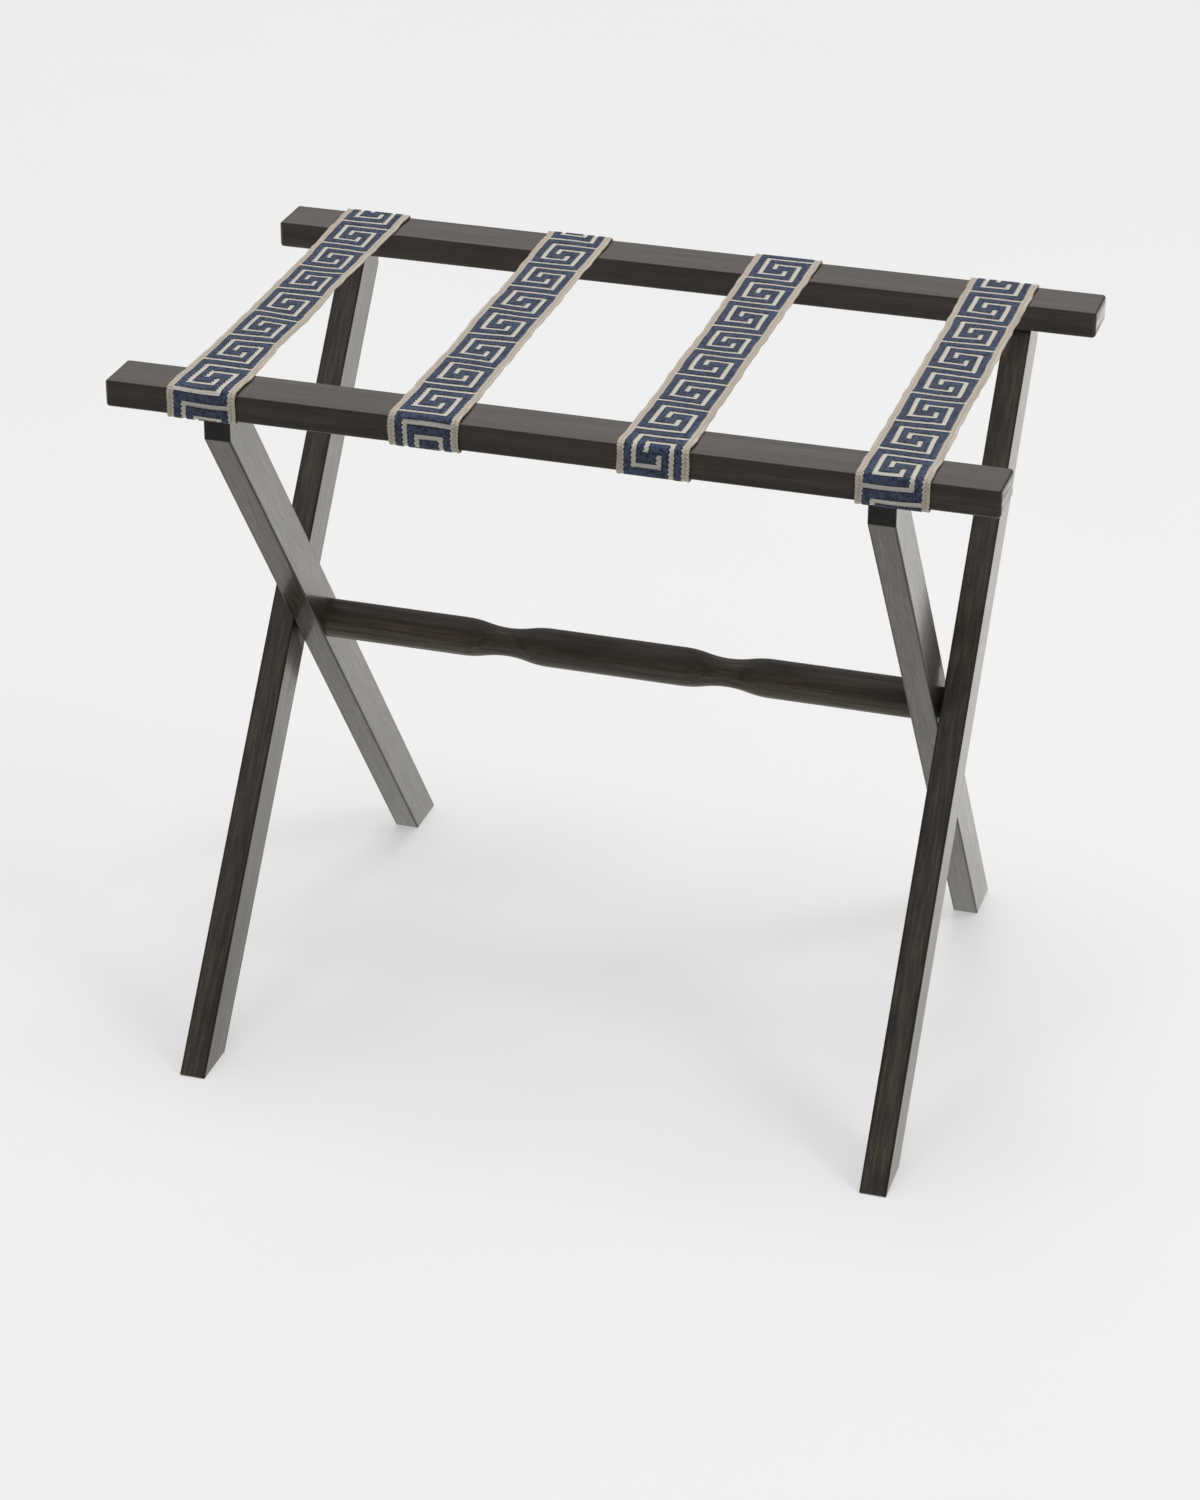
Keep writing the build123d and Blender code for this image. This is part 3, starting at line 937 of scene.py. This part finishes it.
    def edge_yarn(self, sign, start, end, points, weave, faces):
        """The twisted yarn along one edge, which gives the scalloped outline."""
        u = sign * (self.half_width - EDGE_YARN_INSET)
        if not self.cell_there(u, -STRAP_END if start + end < 0 else STRAP_END):
            start = max(start, -LIP_END)
            end = min(end, LIP_END)
        count = math.ceil((end - start) / EDGE_RING_STEP)
        base = len(points)
        for ring in range(count + 1):
            v = start + (end - start) * ring / count
            twist = 2 * math.pi * v / EDGE_PLY_PITCH
            for side in range(EDGE_SIDES):
                angle = 2 * math.pi * side / EDGE_SIDES
                radius = EDGE_YARN * (1 + EDGE_YARN_LOBE * math.cos(2 * angle - twist))
                across = radius * math.cos(angle)
                above = EDGE_YARN_FLATNESS * radius * math.sin(angle)
                points.append(self.place(u + across, v, THICKNESS / 2 + above))
                weave.append((sign * EDGE_YARN_COLUMN + across, self.pattern(v), 1.0))
        for ring in range(count):
            for side in range(EDGE_SIDES):
                a = base + ring * EDGE_SIDES + side
                b = base + ring * EDGE_SIDES + (side + 1) % EDGE_SIDES
                faces.append([a, b, b + EDGE_SIDES, a + EDGE_SIDES])
        last = base + count * EDGE_SIDES
        faces.append([base + side for side in reversed(range(EDGE_SIDES))])
        faces.append([last + side for side in range(EDGE_SIDES)])


def make_piece(name, points, faces, weave):
    """A mesh object that carries its place in the weave at every point."""
    mesh = bpy.data.meshes.new(name)
    mesh.from_pydata(points, [], faces)
    layer = mesh.attributes.new("weave", "FLOAT_VECTOR", "POINT")
    layer.data.foreach_set("vector", np.array(weave, np.float32).ravel())
    mesh.shade_smooth()
    mesh.set_sharp_from_angle(angle=math.radians(SHARP_DEGREES))
    mesh.update()
    piece = bpy.data.objects.new(name, mesh)
    bpy.context.scene.collection.objects.link(piece)
    return piece


def build_straps(material):
    """Each strap in four pieces: a wrap round each rail, and two halves of the span that fold."""
    parts = (
        ("front_wrap", -STRAP_END, -RAIL_INNER, "inner_frame", "front_rail"),
        ("front_span", -RAIL_INNER, 0.0, "inner_frame", "front_rail"),
        ("rear_span", 0.0, RAIL_INNER, "outer_frame", "rear_rail"),
        ("rear_wrap", RAIL_INNER, STRAP_END, "outer_frame", "rear_rail"),
    )
    for number in range(len(STRAPS)):
        strap = Strap(number)
        for part, start, end, body, rail in parts:
            piece = strap.build(part, start, end)
            piece.data.materials.append(material)
            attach(piece, body)
            if part.endswith("span"):
                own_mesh(piece)
            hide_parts(strap.name)


def dress(names, material):
    """Gives CAD nodes a material."""
    for name in names:
        mesh = nodes[name].data
        mesh.materials.clear()
        mesh.materials.append(material)


def dress_frame():
    """Gives every CAD node that stays its finish."""
    for rail, seed in RAIL_SEEDS.items():
        dress([rail], rail_material(rail, seed))
    dress(["turned_stretcher"], stretcher_material())
    for hand, seed in LEG_SEEDS.items():
        inner = f"inner_leg_{hand}"
        outer = f"outer_leg_{hand}"
        dress([inner], leg_material(inner, LEAN, seed))
        dress([outer], leg_material(outer, -LEAN, seed + OUTER_LEG_SEED))
    dress(["front_dowels", "rear_dowels"], dowel_material())
    dress(["front_staples", "rear_staples", "pivot_pin_left", "pivot_pin_right"], metal_material())
    dress(["pivot_washer_left", "pivot_washer_right"], nylon_material())


def lay_floor():
    """A wide flat floor under the feet."""
    sides = ((-1, -1), (1, -1), (1, 1), (-1, 1))
    mesh = bpy.data.meshes.new("studio_floor")
    mesh.from_pydata([(x * FLOOR_HALF, y * FLOOR_HALF, 0) for x, y in sides], [], [(0, 1, 2, 3)])
    mesh.materials.append(floor_material())
    floor = bpy.data.objects.new("studio_floor", mesh)
    bpy.context.scene.collection.objects.link(floor)


def add_lamp(name, place, size, watts):
    """A square soft lamp that doesn't show in the lacquer."""
    data = bpy.data.lights.new(name, "AREA")
    data.shape = "SQUARE"
    data.size = size
    data.energy = watts
    lamp = bpy.data.objects.new(name, data)
    lamp.location = place
    lamp.visible_glossy = False
    lamp.rotation_euler = (Vector(LAMP_AIM) - Vector(place)).to_track_quat("-Z", "Y").to_euler()
    bpy.context.scene.collection.objects.link(lamp)


def light_studio():
    """Bright room above and behind, dim on the camera's side, with soft lamps overhead and at the right."""
    world = bpy.data.worlds.new("studio")
    world.use_nodes = True
    bpy.context.scene.world = world
    tree = world.node_tree
    place = tree.nodes.new("ShaderNodeTexCoord")
    split = tree.nodes.new("ShaderNodeSeparateXYZ")
    tree.links.new(place.outputs["Generated"], split.inputs[0])

    def slope(axis, between, low, high):
        level = tree.nodes.new("ShaderNodeMapRange")
        level.interpolation_type = "SMOOTHSTEP"
        for socket, value in zip(level.inputs[1:5], (*between, low, high)):
            socket.default_value = value
        tree.links.new(split.outputs[axis], level.inputs[0])
        return level.outputs[0]

    room = tree.nodes.new("ShaderNodeMath")
    room.operation = "MULTIPLY"
    tree.links.new(slope("Y", ROOM_DEPTHS, ROOM_FRONT, ROOM_REAR), room.inputs[0])
    tree.links.new(slope("Z", ROOM_HEIGHTS, ROOM_LOW, ROOM_HIGH), room.inputs[1])
    paths = tree.nodes.new("ShaderNodeLightPath")
    backdrop = tree.nodes.new("ShaderNodeMix")
    backdrop.inputs[3].default_value = BACKDROP
    tree.links.new(paths.outputs["Is Camera Ray"], backdrop.inputs[0])
    tree.links.new(room.outputs[0], backdrop.inputs[2])
    background = tree.nodes["Background"]
    background.inputs["Color"].default_value = (1.0, 1.0, 1.0, 1.0)
    tree.links.new(backdrop.outputs[0], background.inputs["Strength"])
    add_lamp("overhead", LAMP_PLACE, LAMP_SIZE, LAMP_WATTS)
    add_lamp("right_key", KEY_PLACE, KEY_SIZE, KEY_WATTS)


def place_camera():
    """The camera at the photograph's viewing angle."""
    data = bpy.data.cameras.new("photo_camera")
    data.sensor_width = SENSOR
    data.lens = FOCAL_PIXELS * SENSOR / FRAME_LONG
    data.shift_y = -LENS_CENTRE_RISE / FRAME_LONG
    data.dof.use_dof = False
    azimuth = math.radians(CAMERA_AZIMUTH)
    elevation = math.radians(CAMERA_ELEVATION)
    level = Vector((math.cos(azimuth), math.sin(azimuth), 0))
    ahead = Vector((-math.sin(azimuth) * math.cos(elevation),
                    math.cos(azimuth) * math.cos(elevation), -math.sin(elevation)))
    upright = level.cross(ahead)
    turn = Matrix((level, upright, -ahead)).transposed().to_4x4()
    roll = Matrix.Rotation(math.radians(CAMERA_ROLL), 4, "Z")
    camera = bpy.data.objects.new("photo_camera", data)
    camera.matrix_world = Matrix.Translation(CAMERA_PLACE) @ turn @ roll
    bpy.context.scene.collection.objects.link(camera)
    bpy.context.scene.camera = camera


dress_frame()
build_straps(webbing_material())
lay_floor()
light_studio()
place_camera()
bpy.context.scene.view_settings.view_transform = "Standard"
